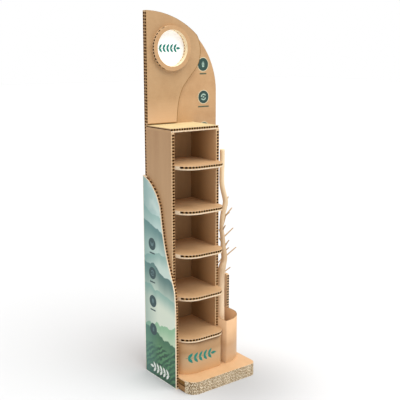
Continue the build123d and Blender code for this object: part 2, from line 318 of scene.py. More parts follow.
def paper(name, colour, darker, streaked=False, ripple_axis=None, roughness=0.6, gloss=0.45,
          painted_glow=0.0, painted_light_and_shade=()):
    # Paper: matt, with fine fibres, darker specks and wide faint clouds. A ripple axis adds
    # the slight washboard that the flutes print through to the face. A painted glow makes
    # the
    # paper emit faintly: painted light from a surface that is no lamp.
    # Millimetres. Real ones are finer and wouldn't show, so all three are drawn coarser.
    fibre, speck, cloud = 2.381, 1.111, 71.43
    made, tree, place = start_material(name)
    drawn_out = (1.0, 1.0, 0.12 if streaked else 1.0)
    stretch = add_node(tree, "ShaderNodeMapping", {"Vector": place, "Scale": drawn_out})
    look = {"Vector": stretch, "Scale": 1000 / fibre, "Detail": 3.0, "Roughness": 0.6}
    fibres = add_node(tree, "ShaderNodeTexNoise", look)
    look = {"Vector": stretch, "Scale": 1000 / cloud, "Detail": 4.0, "Roughness": 0.6}
    clouds = add_node(tree, "ShaderNodeTexNoise", look)
    inputs = {0: fibres, 1: 0.4, 2: clouds}
    both = add_node(tree, "ShaderNodeMath", inputs, operation="MULTIPLY_ADD")
    tint = laid_over(tree, colour, darker, both, 0.45, 0.95)
    tint = lay_painted_light_and_shade(tree, place, tint, painted_light_and_shade)
    look = {"Vector": place, "Scale": 1000 / speck, "Detail": 1.0}
    specks = add_node(tree, "ShaderNodeTexNoise", look)
    tint = laid_over(tree, tint, "#6a4a2c", specks, 0.68, 0.76, most=0.35)
    reliefs = [(fibres, 0.12, 0.0004)]
    if ripple_axis:
        along = add_node(tree, "ShaderNodeSeparateXYZ", {0: place}).outputs[ripple_axis]
        inputs = {0: along, 1: math.tau / (flute_pitch / 1000)}
        turns = add_node(tree, "ShaderNodeMath", inputs, operation="MULTIPLY")
        wave = add_node(tree, "ShaderNodeMath", {0: turns}, operation="SINE")
        reliefs.append((wave, 1.0, 0.00004))
    look = {"Base Color": tint, "Roughness": roughness, "Specular IOR Level": gloss}
    if painted_glow:
        look.update({"Emission Color": "#ffffff", "Emission Strength": painted_glow})
    finish_material(tree, look, *reliefs)
    return made


def side_edge_bands(name, bands):
    # The base's left side, cut along the flutes: the height in millimetres where each band
    # starts, and its colour. From the top: a pale band, painted highlight along the top
    # edge, a flute cut open in the upper sheets, the dark joint under them, a closed liner
    # and a darker band at the foot. The torn fibre is drawn 8 mm wide so that it shows.
    made, tree, place = start_material(name)
    up = add_node(tree, "ShaderNodeSeparateXYZ", {0: place}).outputs["Z"]
    tear = 8.333
    look = {"Vector": place, "Scale": 1000 / tear, "Detail": 3.0}
    fibres = add_node(tree, "ShaderNodeTexNoise", look)
    inputs = {0: fibres, 1: 0.003, 2: up}
    uneven = add_node(tree, "ShaderNodeMath", inputs, operation="MULTIPLY_ADD")
    inputs = {"Value": uneven, "From Max": base_height / 1000}
    share = add_node(tree, "ShaderNodeMapRange", inputs)
    ramp = add_node(tree, "ShaderNodeValToRGB", {0: share})
    stops = ramp.color_ramp.elements
    for number, (height, colour) in enumerate(bands):
        stop = stops[number] if number < 2 else stops.new(1.0)
        stop.position = height / base_height
        stop.color = linear(colour)
    ramp.color_ramp.interpolation = "CONSTANT"
    look = {"Base Color": ramp, "Roughness": 0.9, "Specular IOR Level": 0.1}
    finish_material(tree, look, (fibres, 0.3, 0.001))
    return made


def rough_edge(name, pale, brown, spot, brown_share):
    # A die-cut edge of corrugated board: pale torn fibre, quite matt, with brown spots and
    # hollows. Real spots are under 1 mm, and drawn 2 to 5 mm wide so that they show.
    made, tree, place = start_material(name)
    look = {"Vector": place, "Scale": 1000 / spot, "Detail": 4.0}
    spots = add_node(tree, "ShaderNodeTexNoise", look)
    start = 0.56 - brown_share * 0.3
    tint = laid_over(tree, pale, brown, spots, start, start + 0.12)
    look = {"Base Color": tint, "Roughness": 1.0, "Specular IOR Level": 0.1}
    finish_material(tree, look, (spots, 0.4, 0.001))
    return made


# Unbleached kraft is warm brown and dull. Its torn edge is paler, so the base's edge reads
# as a grainy cream band, with mouths that are short and lit to a mid brown.
base_papers = {
    "face": paper("kraft_liner_paper", "#caa276", "#bc9266"),
    "far_face": paper("kraft_base_top_liner", "#cca57c", "#c0996f"),
    "edge": rough_edge("base_cut_edge", "#ecdcc0", "#a18259", 5.0, 0.3),
    "inside": paper(
        "kraft_base_flute_inside", "#957750", "#7d603c", roughness=1.0, gloss=0.0
    ),
    "side": side_edge_bands(
        "kraft_base_side_edge",
        [(0, "#7c5a34"), (6, "#a98259"), (31, "#5d3d18"), (37, "#8a6436"), (58, "#f3cba0")],
    ),
}
# Radii of the two front corners.
left, right = 53.0, 36.0
base_outline = [(0, cabinet_depth)]
base_outline += arc(left, base_front + left, left, left, 180, 270, 24)
base_outline += arc(base_width - right, base_front + right, right, right, 270, 360, 18)
base_outline.append((base_width, cabinet_depth))
base_sheet = base_height / 4
base_rows = [(4.4, 4.6, 0.0), (11.6, 4.6, 3.1)]
for number, first_flute in enumerate((4.6, 5.6, 0.8, 6.2)):
    node = "base_board_" + str(number + 1)
    bottom = number * base_sheet
    board = fluted_board(
        "corrugated_" + node,
        [base_outline],
        lambda s, r, w, bottom=bottom: (s, r, bottom + w),
        base_sheet, flute_pitch / 2, 4.6, base_rows, (first_flute, 56), base_papers,
        jitter=1.0,
    )
    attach(board, "root")
    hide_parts(node)


# Backboard
# One tall sheet of 14.5 mm corrugated board that stands on the floor behind everything.
# Its flutes run from side to side, so both side edges show a row of dark mouths.
def flute_row(low, high):
    # First middle and number of the flutes that fit between two edges.
    count = int((high - low - 4) / flute_pitch)
    return (low + high - (count - 1) * flute_pitch) / 2, count


# The liner shows the flutes as faint ripples. At the edge its torn fibre is tan, the webs
# are a darker tan, and the flutes look almost black though their paper is brown.
kraft = paper("kraft_liner_rippled", "#caa276", "#bc9266", ripple_axis="Z")
cut_edge = rough_edge("pale_cut_edge", "#d5b690", "#9e7950", 3.0, 0.1)
web_edge = rough_edge("tan_web_edge", "#bb966c", "#987147", 3.0, 0.1)
upright_inside = paper(
    "kraft_upright_flute_inside", "#9c6a3a", "#7d5330", roughness=1.0, gloss=0.0
)
upright_edges = {"edge": cut_edge, "inside": upright_inside, "web": web_edge}
back_width, crown_foot, crown_rise = base_width + display_board, 1416.0, 390.0
stand_height = crown_foot + crown_rise
flute_stop = 1.5
back_outline = [(0, 0), (0, back_width)]
back_outline += [(z, x) for x, z in arc(0, crown_foot, back_width, crown_rise, 0, 90, 72)]
backboard = fluted_board(
    "corrugated_backboard",
    [back_outline],
    lambda s, r, w: (r, back_y - w, s),
    display_board, flute_pitch, 10.4, [(7.3, 12.8, 0.0)],
    flute_row(0, stand_height - flute_stop),
    {"face": kraft, "far_face": kraft, **upright_edges},
)
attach(backboard, "root")
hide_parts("backboard")


# Left side panel
# One sheet of the same board, die cut with a long swept front edge and glued against the
# base, cabinet and backboard. Its outer face is covered with a printed paper of hills.
def smooth_curve(points, steps):
    # A smooth line through points, each stretch drawn in steps.
    made = []
    ends = [points[0]] + points + [points[-1]]
    for i in range(1, len(ends) - 2):
        p0, p1, p2, p3 = ends[i - 1 : i + 3]
        for j in range(steps):
            t = j / steps
            point = []
            for k in range(2):
                bend = (p2[k] - p0[k]) * t
                bend += (2 * p0[k] - 5 * p1[k] + 4 * p2[k] - p3[k]) * t * t
                bend += (3 * p1[k] - p0[k] - 3 * p2[k] + p3[k]) * t**3
                point.append(p1[k] + bend / 2)
            made.append(tuple(point))
    return made + [tuple(points[-1])]


def printed_hills(name):
    # Printed paper, smooth and a little less dull than kraft: misty hills one behind the
    # other over rows of green. Each hill is a wavy ridge whose colour fades to mist below.
    made, tree, place = start_material(name)
    parts = add_node(tree, "ShaderNodeSeparateXYZ", {0: place})
    across, up, soft = parts.outputs["Y"], parts.outputs["Z"], "SMOOTHSTEP"
    # Millimetres. The fibres are drawn coarse enough to show.
    cloud, fibre = 76.92, 2.0
    look = {"Vector": place, "Scale": 1000 / cloud, "Detail": 3.0, "Roughness": 0.5}
    clouds = add_node(tree, "ShaderNodeTexNoise", look)
    picture = laid_over(tree, "#dcf1ec", "#bcd6d2", up, 0.70, 0.86, soft)
    picture = laid_over(tree, picture, "#d3e6e0", clouds, 0.5, 0.75, soft)

    # Height, slope, swing and waves of each ridge, a place in the noise, the colour at the
    # crest and in the mist, and how far down the mist is full. Metres.
    hills = [
        (0.842, 0.25, 0.10, 5.0, 11.0, "#a3c7c1", "#c6dfd9", 0.07),
        (0.742, 0.42, 0.10, 7.0, 3.0, "#628c8b", "#c3dcd3", 0.14),
        (0.655, -0.10, 0.07, 8.0, 17.0, "#93b9b1", "#cfe3d9", 0.08),
        (0.548, 0.38, 0.09, 8.0, 29.0, "#567c78", "#d2e3d3", 0.16),
        (0.455, 0.16, 0.06, 9.0, 41.0, "#93b9ad", "#e0ead9", 0.09),
        (0.300, -0.15, 0.06, 16.0, 53.0, "#93c29c", "#c2dcbd", 0.09),
        (0.226, 0.16, 0.05, 22.0, 61.0, "#3f7053", "#629167", 0.10),
    ]
    for height, slope, swing, waves, seed, crest, mist, fade in hills:
        shifted = add_node(tree, "ShaderNodeMath", {0: across, 1: seed}, operation="ADD")
        look = {"W": shifted, "Scale": waves, "Detail": 4.0, "Roughness": 0.5}
        wave = add_node(tree, "ShaderNodeTexNoise", look, noise_dimensions="1D")
        inputs = {0: wave, 1: swing, 2: height - swing / 2}
        ridge = add_node(tree, "ShaderNodeMath", inputs, operation="MULTIPLY_ADD")
        inputs = {0: across, 1: slope, 2: ridge}
        ridge = add_node(tree, "ShaderNodeMath", inputs, operation="MULTIPLY_ADD")
        below = add_node(tree, "ShaderNodeMath", {0: ridge, 1: up}, operation="SUBTRACT")
        hill = laid_over(tree, crest, mist, below, 0.0, fade, soft)
        picture = laid_over(tree, picture, hill, below, 0.0, 0.003, soft)

    # The rows of green at the foot lean to the front and bend a little.
    lean = (0.62, 0.0, 0.0)
    tilt = add_node(tree, "ShaderNodeMapping", {"Vector": place, "Rotation": lean})
    look = {"Vector": tilt, "Scale": 13.0, "Distortion": 5.0, "Detail": 3.0}
    look["Detail Scale"] = 3.0
    rows = add_node(tree, "ShaderNodeTexWave", look, bands_direction="Z").outputs["Fac"]
    green = laid_over(tree, "#2b5240", "#5a9164", rows, 0.25, 0.8, soft)
    green = laid_over(tree, green, "#3c6c50", clouds, 0.4, 0.7, soft)
    green = laid_over(tree, green, "#25433a", up, 0.055, 0.015, soft, most=0.45)
    inputs = {0: clouds, 1: 0.10, 2: up}
    edge = add_node(tree, "ShaderNodeMath", inputs, operation="MULTIPLY_ADD")
    picture = laid_over(tree, picture, green, edge, 0.235, 0.215, soft)

    # The ink is denser toward the rear, and a strip at the foot is left unprinted.
    picture = laid_over(tree, picture, "#5f908c", across, 0.07, 0.175, most=0.5)
    picture = laid_over(tree, picture, "#f3f4ec", up, 0.004, 0.0035, soft)
    look = {"Vector": place, "Scale": 1000 / fibre, "Detail": 2.0}
    fibres = add_node(tree, "ShaderNodeTexNoise", look)
    look = {"Base Color": picture, "Roughness": 0.55}
    finish_material(tree, look, (fibres, 0.06, 0.0003))
    return made


# The sweep from the rear top down, as shares of the panel's depth and of its drop.
panel_height, panel_front, sweep_drop = 1026.0, -46.0, 640.0
sweep = [
    (1.0, 0.0), (0.815, 0.034), (0.683, 0.077), (0.576, 0.127), (0.506, 0.178),
    (0.459, 0.228), (0.404, 0.361), (0.327, 0.505), (0.220, 0.638), (0.118, 0.738),
    (0.032, 0.834), (0.0, 1.0),
]
sweep = [
    (panel_height - drop * sweep_drop, panel_front + depth * (back_y - panel_front))
    for depth, drop in sweep
]
left_outline = smooth_curve(sweep, 8) + [(0, panel_front), (0, back_y)]
# The panel's cut edge is painted cream, paler than the other boards' edges, as painted
# highlight, and the rims of its faces are pale, partly wear and partly painted highlight.
left_papers = {
    "face": printed_hills("printed_hill_paper"),
    "far_face": kraft,
    **upright_edges,
    "edge": rough_edge("panel_edge_painted_highlight", "#efdbbf", "#bd9970", 3.0, 0.05),
    "side": cut_edge,
    "rim": rough_edge("paper_rim_painted_highlight", "#fff4de", "#e6cfa8", 3.0, 0.05),
}
left_panel = fluted_board(
    "printed_left_panel",
    [left_outline],
    lambda s, r, w: (w - display_board, r, s),
    display_board, flute_pitch, 10.4, [(9.0, 10.8, 0.0)],
    flute_row(0, panel_height - flute_stop),
    left_papers,
    painted_rim_widths=(4.5, 3.0),
)
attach(left_panel, "root")
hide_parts("side_panel_left")


# Printed signs
# Round signs, most with a plain bar for a caption under them, a leafy sprig at the foot
# of the panel and a sprig on the disc and the kick panel: all flat ink on the paper.
def ring_points(u, v, radius, steps=40):
    # Points of a circle.
    return arc(u, v, radius, radius, 0, 360, steps)[:-1]


def leaf(u, v, angle, length, width):
    # A pointed leaf from its foot, as short strips across it.
    sides = []
    for step in range(9):
        t = step / 8
        half = max(0.04, width / 2 * math.sin(math.pi * t**0.8) ** 0.9)
        x, y = u + length * t * math.cos(angle), v + length * t * math.sin(angle)
        off_x, off_y = -half * math.sin(angle), half * math.cos(angle)
        sides.append(((x + off_x, y + off_y), (x - off_x, y - off_y)))
    return [[a, b, d, c] for (a, b), (c, d) in zip(sides, sides[1:])]


def bar(u1, u2, v, width):
    # A straight line of ink, as short strips along it.
    ends = [u1 + (u2 - u1) * i / 16 for i in range(17)]
    low, high = v - width / 2, v + width / 2
    return [[(a, low), (b, low), (b, high), (a, high)] for a, b in zip(ends, ends[1:])]


def sprig(u, v, length, pairs, leaf_length, leaf_width):
    # A stem along u with leaves in pairs and one at the tip.
    start, end = u - length / 2, u + length / 2 - leaf_length
    shapes = bar(start, end, v, leaf_width * 0.14)
    for k in range(pairs):
        foot = start + leaf_length * 0.3 + (length - leaf_length * 1.3) * k / (pairs - 0.4)
        for side in (1, -1):
            shapes += leaf(foot, v, side * math.radians(52), leaf_length, leaf_width)
    return shapes + leaf(end, v, 0.0, leaf_length, leaf_width)


def ink(name, colour, darker):
    # A printed ink: as dull as its paper, with a faint unevenness.
    return paper(name, colour, darker, roughness=0.5)


def print_on(name, shapes, place, material):
    # Flat inked shapes drawn on (u, v), laid on a face by place.
    mesh = bmesh.new()
    for shape in shapes:
        mesh.faces.new([mesh.verts.new(row(*place(u, v))) for u, v in shape])
    bmesh.ops.remove_doubles(mesh, verts=mesh.verts, dist=0.00001)
    made = finish_piece(name, mesh, [material])
    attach(made, "root")
    return made


def symbol(kind, u, v, size):
    # The plain symbol inside a sign: a sprig, a drop, a leaf pair or a turning ring.
    if kind == "sprig":
        turned = sprig(0, 0, size * 1.9, 3, size * 0.62, size * 0.3)
        return [[(u - y, v + x) for x, y in shape] for shape in turned]
    if kind == "drop":
        return leaf(u, v + size, -math.pi / 2, size * 1.9, size * 1.15)
    if kind == "leaves":
        shapes = leaf(u, v - size * 0.8, math.radians(60), size * 1.8, size * 0.8)
        return shapes + leaf(u, v - size * 0.8, math.radians(120), size * 1.8, size * 0.8)
    outer, inner = ring_points(u, v, size, 24), ring_points(u, v, size * 0.62, 24)
    drawn = [k for k in range(23) if k % 12 > 1]
    shapes = [[outer[k], outer[k + 1], inner[k + 1], inner[k]] for k in drawn]
    return shapes + leaf(u - size * 0.4, v, 0.0, size * 0.8, size * 0.4)


def on_left_panel(lift):
    # Places ink that far off the left panel.
    return lambda u, v: (-display_board - lift, u, v)


def on_backboard(lift):
    # Places ink that far off the backboard.
    return lambda u, v: (u, cabinet_depth - lift, v)


# Dark teal and grey-teal inks with soft pale symbols: on brown kraft they look almost
# black, and on the print they sink into the hills.
grey_ink = ink("grey_teal_ink", "#2d4d50", "#264447")
soft_ink = ink("soft_sign_symbol", "#628185", "#58767b")
white_ink = ink("white_mark_ink", "#fbfdf8", "#f0f5ee")
sign_radius, caption_drop, caption_half, bar_width = 31, 46, 23, 7
signs = [(152, 693, "leaves"), (152, 544, "turning"), (151, 398, "drop")]
signs.append((150, 250, "sprig"))
discs, symbols, captions = [], [], []
for u, v, kind in signs:
    discs.append(ring_points(u, v, sign_radius))
    symbols += symbol(kind, u, v, 15)
for u, v, kind in signs[:3]:
    captions += bar(u - caption_half, u + caption_half, v - caption_drop, bar_width)
foot_sprig = sprig(95, 48, 176, 5, 34, 15)
print_on("left_panel_sign_discs", discs, on_left_panel(0.2), grey_ink)
print_on("left_panel_sign_symbols", symbols, on_left_panel(0.4), soft_ink)
print_on("left_panel_captions", captions, on_left_panel(0.2), grey_ink)
print_on("left_panel_sprig", foot_sprig, on_left_panel(0.2), white_ink)

ring_ink = ink("cream_sign_ring", "#dccfae", "#d2c4a2")
sign_ink = ink("dark_teal_ink", "#22453e", "#1c3a34")
pale_ink = ink("pale_sign_symbol", "#a9c4b6", "#9cb8aa")
bar_ink = ink("dark_caption_ink", "#5a5f45", "#4f543c")
sign_radius, ring_radius = 32, 35.5
signs = [(343, 1554, "sprig"), (346, 1392, "turning"), (349, 1232, "leaves")]
circles, discs, symbols, captions = [], [], [], []
for u, v, kind in signs:
    circles.append(ring_points(u, v, ring_radius))
    discs.append(ring_points(u, v, sign_radius))
    symbols += symbol(kind, u, v, 17)
for (u, v, kind), half, drop in zip(signs, (21, 34), (46, 48)):
    captions += bar(u - half, u + half, v - drop, bar_width)
print_on("backboard_sign_rings", circles, on_backboard(0.2), ring_ink)
print_on("backboard_sign_discs", discs, on_backboard(0.35), sign_ink)
print_on("backboard_sign_symbols", symbols, on_backboard(0.5), pale_ink)
print_on("backboard_captions", captions, on_backboard(0.2), bar_ink)


# Right side panel
# A low sheet of the same board on the other side, from the floor to well above the bin,
# with a small round at the top front corner. Its inner paper is painted pale cream, partly
# a paler kraft and partly painted light on a face the lamp hardly reaches, and its flutes
# are painted almost black, painted shade.
right_height, right_front, corner = 470, 91, 12
right_outline = [(0, right_front), (0, cabinet_depth), (right_height, cabinet_depth)]
right_outline += arc(right_height - corner, right_front + corner, corner, corner, 0, -90, 8)
# Paper inside the flutes is painted almost black: painted shade, as the kraft there is
# brown.
flute_inside = paper("flute_inside_painted_shade", "#4e2a09", "#3a1f06", roughness=1.0, gloss=0.0)
right_papers = {
    "face": paper("pale_liner_painted_light", "#f6e8d0", "#ead8bb", ripple_axis="Z"),
    "far_face": kraft,
    "edge": cut_edge,
    "inside": flute_inside,
}
right_panel = fluted_board(
    "corrugated_right_panel",
    [right_outline],
    lambda s, r, w: (base_width + w, r, s),
    display_board, flute_pitch, 9.4, [(7.6, 12.0, 0.0)], flute_row(0, right_height),
    right_papers,
)
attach(right_panel, "root")
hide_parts("side_panel_right")


# Cabinet walls, back and top
# Two tall walls and a top of 18 mm double-wall board and a plain 8 mm back, glued on the
# base. The walls' coarse flutes lie near the right face, with a wide pale rim on the left,
# and the top's right under its upper paper.
cabinet_width, cabinet_board, wall_top = 280.0, 18.0, 1252.0
inside_left, inside_right, back_board = cabinet_board, cabinet_width - cabinet_board, 8.0
wall_outline = [(base_height, 0), (base_height, cabinet_depth), (wall_top, cabinet_depth)]
wall_outline.append((wall_top, 0))

# Kraft drawn lengthwise shows long faint streaks. It is dark where the cabinet shades it
# and lighter at the front of the inner faces.
outer_kraft = paper(
    "kraft_liner_streaked", "#c29a70", "#b28960", streaked=True, ripple_axis="Z",
    painted_light_and_shade=[("Z", 0.45, 1.25, "#cda77d")],
)
inner_kraft = paper(
    "kraft_inner_liner", "#a7875f", "#987850", streaked=True, ripple_axis="Z",
    painted_light_and_shade=[("Y", -0.037, 0.11, "#d9b387")],
)
for node, left, papers in (
    ("cabinet_wall_left", 0.0, (outer_kraft, inner_kraft)),
    ("cabinet_wall_right", inside_right, (inner_kraft, outer_kraft)),
):
    wall = fluted_board(
        "corrugated_" + node,
        [wall_outline],
        lambda s, r, w, left=left: (left + w, r, s),
        cabinet_board, flute_pitch, 9.8, [(11.2, 13.0, 0.0)],
        flute_row(base_height, wall_top),
        {"face": papers[0], "far_face": papers[1], **upright_edges},
    )
    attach(wall, "root")
    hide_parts(node)

# The top's upper paper is painted pale, a painted highlight where it catches the lamp. Its
# edge is cream with browner webs.
across_kraft = paper("kraft_liner_cross_rippled", "#caa276", "#bc9266", ripple_axis="X")
level_edges = {
    "edge": rough_edge("cream_cut_edge", "#e7d1b4", "#bc9c75", 3.0, 0.05),
    "inside": flute_inside,
    "web": rough_edge("browned_web_edge", "#b08859", "#91693e", 3.0, 0.1),
}
top_papers = {
    "face": across_kraft,
    "far_face": paper(
        "top_liner_painted_highlight", "#dac798", "#cdb888", ripple_axis="X", roughness=0.5
    ),
    **level_edges,
    "side": across_kraft,
}
top = fluted_board(
    "corrugated_cabinet_top",
    [[(0, 0), (0, cabinet_depth), (cabinet_width, cabinet_depth), (cabinet_width, 0)]],
    lambda s, r, w: (s, r, wall_top + w),
    cabinet_board, flute_pitch, 10.2, [(12.0, 10.4, 0.0)], (4.95, 20), top_papers,
)
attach(top, "root")
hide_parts("cabinet_top")


def plain_sheet(name, outline, place, thick, material):
    # A sheet without visible flutes, its outline drawn on (u, v) and its thickness w.
    mesh = bmesh.new()
    low = [mesh.verts.new(row(*place(u, v, 0.0))) for u, v in outline]
    high = [mesh.verts.new(row(*place(u, v, thick))) for u, v in outline]
    mesh.faces.new(low)
    mesh.faces.new(high)
    for i in range(len(outline)):
        j = (i + 1) % len(outline)
        mesh.faces.new([low[i], low[j], high[j], high[i]])
    bmesh.ops.recalc_face_normals(mesh, faces=mesh.faces)
    return finish_piece(name, mesh, [material])


sheet_outline = [(inside_left, base_height), (inside_right, base_height)]
sheet_outline += [(inside_right, wall_top), (inside_left, wall_top)]
# The back's kraft is painted darker: painted shade at the rear of the cabinet.
cabinet_back = plain_sheet(
    "cabinet_back_board",
    sheet_outline,
    lambda u, v, w: (u, cabinet_depth - back_board + w, v),
    back_board,
    paper("back_liner_painted_shade", "#b29168", "#a4835b", streaked=True),
)
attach(cabinet_back, "root")
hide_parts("cabinet_back")


# Shelves
# Five equal shelves of 18 mm board between the walls. Each swells forward of the walls in
# two soft curves, and its flutes run to the front, so the swept edge shows their mouths.
shelf_back, overhang, shelf_right = 202, 79, cabinet_width - 5
left_reach, right_reach, right_rise = 95, 60, 70
shelf_outline = [(inside_right, 0), (inside_right, shelf_back), (inside_left, shelf_back)]
shelf_outline += arc(inside_left + left_reach, 0, left_reach, overhang, 180, 270, 28)
shelf_outline += arc(
    shelf_right - right_reach, right_rise - overhang, right_reach, right_rise, 270, 360, 22
)
shelf_outline.append((shelf_right, 0))
# The shelves' upper paper is painted lighter toward the rear: painted light.
shelf_papers = {
    "face": across_kraft,
    "far_face": paper(
        "shelf_liner_painted_light", "#c7a37a", "#b9936a", ripple_axis="X",
        painted_light_and_shade=[("Y", 0.165, 0.0, "#e6c196")],
    ),
    **level_edges,
}
shelf_tops = [1098 - 212.4 * number for number in range(5)]
for number, shelf_top in enumerate(shelf_tops):
    node = "shelf_" + str(number + 1)
    bottom = shelf_top - cabinet_board
    shelf = fluted_board(
        "corrugated_" + node,
        [shelf_outline],
        lambda s, r, w, bottom=bottom: (s, r, bottom + w),
        cabinet_board, flute_pitch, 10.4, [(12.0, 10.4, 0.0)],
        flute_row(inside_left, inside_right),
        shelf_papers,
    )
    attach(shelf, "root")
    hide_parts(node)


# Kick panel
# A thin sheet of fine-flute board bent round under the lowest shelf, glued inside the
# left wall by a flange and against the front edge of the right wall.
def bent_sheet(name, outside, inside, bottom, top, materials):
    # A thin sheet bent along a drawn line: its outer and inner lines, run the same way. The
    # rims show a dark fine flute between two papers. materials: paper, rim, flute.
    shares = (0.0, 0.22, 0.78, 1.0)
    mesh = bmesh.new()
    columns = []
    for (x1, y1), (x2, y2) in zip(outside, inside):
        points = [(x1 + (x2 - x1) * t, y1 + (y2 - y1) * t) for t in shares]
        low = [mesh.verts.new(row(x, y, bottom)) for x, y in points]
        high = [mesh.verts.new(row(x, y, top)) for x, y in points]
        columns.append(low + high[::-1])
    kinds = (1, 2, 1, 0, 1, 2, 1, 0)
    for one, two in zip(columns, columns[1:]):
        for k in range(8):
            made = mesh.faces.new([one[k], two[k], two[(k + 1) % 8], one[(k + 1) % 8]])
            made.material_index = kinds[k]
            made.smooth = k in (3, 7)
    for end in (columns[0], columns[-1]):
        for k in range(3):
            made = mesh.faces.new([end[k], end[k + 1], end[6 - k], end[7 - k]])
            made.material_index = kinds[k]
    bmesh.ops.recalc_face_normals(mesh, faces=mesh.faces)
    return finish_piece(name, mesh, materials)


# Middle x and y and radii of the two curves of its plan, left and right.
kick_curves = ((104, 0, 86, 70), (226, -8, 45, 62))
thin_board = 4


def kick_line(inset):
    # The panel's plan, that far inside its outer face.
    (x1, y1, wide1, deep1), (x2, y2, wide2, deep2) = kick_curves
    line = [(x1 - wide1 + inset, 30)]
    line += arc(x1, y1, wide1 - inset, deep1 - inset, 180, 270, 32)
    line += arc(x2, y2, wide2 - inset, deep2 - inset, 270, 360, 24)
    return line + [(x2 + wide2 - inset, 0)]


def on_kick(x, z):
    # A point 0.4 mm off the kick panel's outer face.
    (x1, y1, wide1, deep1), (x2, y2, wide2, deep2) = kick_curves
    y = y1 - deep1
    if x < x1:
        y = y1 - deep1 * math.sqrt(max(0.0, 1 - ((x - x1) / wide1) ** 2))
    elif x > x2:
        y = y2 - deep2 * math.sqrt(max(0.0, 1 - ((x - x2) / wide2) ** 2))
    return (x, y - 0.4, z)


# A dull, evenly brown kraft, painted lighter toward its foot: painted light from the base.
rim_edge = rough_edge("thin_board_rim", "#d8b88c", "#a47f54", 2.0, 0.1)
kick_paper = paper(
    "kraft_bent_sheet", "#a8845d", "#9c7850", painted_light_and_shade=[("Z", 0.07, 0.175, "#fbdcb2")]
)
kick = bent_sheet(
    "bent_kick_panel", kick_line(0), kick_line(thin_board),
    base_height, shelf_tops[-1] - cabinet_board, [kick_paper, rim_edge, flute_inside],
)
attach(kick, "root")
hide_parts("kick_panel")
teal_ink = ink("teal_mark_ink", "#148577", "#11786c")
print_on("kick_panel_sprig", sprig(128, 148, 172, 5, 33, 15), on_kick, teal_ink)


# Bin
# A thin sheet folded once at the front left and bent round to the right panel, glued to
# the base, the cabinet wall and the backboard. It is open at the top.
bin_front, bin_top, bin_wide, bin_deep = -67, 291, 125, 110


def bin_line(inset):
    # The bin's plan, that far inside its outer face.
    left, front = cabinet_width + inset, bin_front + inset
    line = [(left, cabinet_depth), (left, front)]
    middle = (base_width - bin_wide, bin_front + bin_deep)
    line += arc(*middle, bin_wide - inset, bin_deep - inset, 270, 360, 40)
    return line + [(base_width - inset, cabinet_depth)]


# A warmer, lighter kraft than the kick panel's, painted light where the bin faces the lamp,
# and painted lighter still at its foot: painted light from the base.
bin_paper = paper(
    "kraft_bin_sheet", "#d6ae85", "#cba177", painted_light_and_shade=[("Z", 0.07, 0.16, "#fbe3c2")]
)
bin_wrap = bent_sheet(
    "bent_bin", bin_line(0), bin_line(thin_board), base_height, bin_top,
    [bin_paper, rim_edge, flute_inside],
)
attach(bin_wrap, "root")
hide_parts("bin_wrap")


# Header panel
# A sheet of the 14.5 mm board glued on the backboard above the cabinet. It shares its left
# edge and crown, has a round hole for the badge and a swept right edge.
header_foot = 1274
crown = arc(0, crown_foot, back_width, crown_rise, 90, 45.9, 40)
leave_x, leave_z = crown[-1]

# The sweep, as shares of the backboard's width and of the height where it leaves the crown.
header_curve = [
    (0.725, 0.934), (0.744, 0.802), (0.704, 0.656), (0.592, 0.526), (0.484, 0.389),
    (0.427, 0.219), (0.404, 0.0),
]
header_curve = [
    (header_foot + high * (leave_z - header_foot), wide * back_width)
    for wide, high in header_curve
]
header_outline = [(header_foot, 0), (stand_height, 0)] + [(z, x) for x, z in crown[1:-1]]
header_outline += smooth_curve([(leave_z, leave_x)] + header_curve, 9)
badge_x, badge_z, hole_radius, round_steps = 137.6, 1632.5, 87.0, 72
badge_hole = [(z, x) for x, z in ring_points(badge_x, badge_z, hole_radius, round_steps)]

# Its paper is painted paler toward the foot, painted light from the cabinet's top, and a
# thin strip at the joint to the cabinet's top is painted dark, painted shadow of the gap.
# The rims of its faces are painted dark, painted shadow along its edges that is widest
# along the sweep.
header_papers = {
    "face": kraft,
    "far_face": paper(
        "kraft_header_liner", "#c29e74", "#b48e64", ripple_axis="Z",
        painted_light_and_shade=[("Z", 1.28, 1.40, "#d8b189"), ("Z", 1.2775, 1.2785, "#946c3a")],
    ),
    **upright_edges,
    "rim": rough_edge("cut_rim_painted_shadow", "#94703f", "#7d5c33", 4.0, 0.2),
}
header = fluted_board(
    "corrugated_header_panel",
    [header_outline, badge_hole],
    lambda s, r, w: (r, cabinet_depth - w, s),
    display_board, flute_pitch, 10.2, [(7.3, 12.8, 0.0)],
    flute_row(header_foot, stand_height - flute_stop),
    header_papers,
    painted_rim_widths=(1.0, 3.0),
)
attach(header, "root")
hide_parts("header_panel")


# Badge ring and disc
# A ring of 18 mm board glued on the header round the hole and lined with a strip of cream
# paper, and a white card disc glued to the backboard at the bottom of the hole.
ring_radius, ring_back = 107, cabinet_depth - display_board
ring = fluted_board(
    "corrugated_badge_ring",
    [[(z, x) for x, z in ring_points(badge_x, badge_z, ring_radius, 80)], badge_hole],
    lambda s, r, w: (r, ring_back - w, s),
    cabinet_board, flute_pitch, 9.6, [(10.5, 10.4, 0.0)],
    flute_row(badge_z - ring_radius, badge_z + ring_radius),
    {"face": kraft, "far_face": kraft, "edge": cut_edge, "inside": flute_inside},
)
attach(ring, "root")
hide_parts("badge_ring")

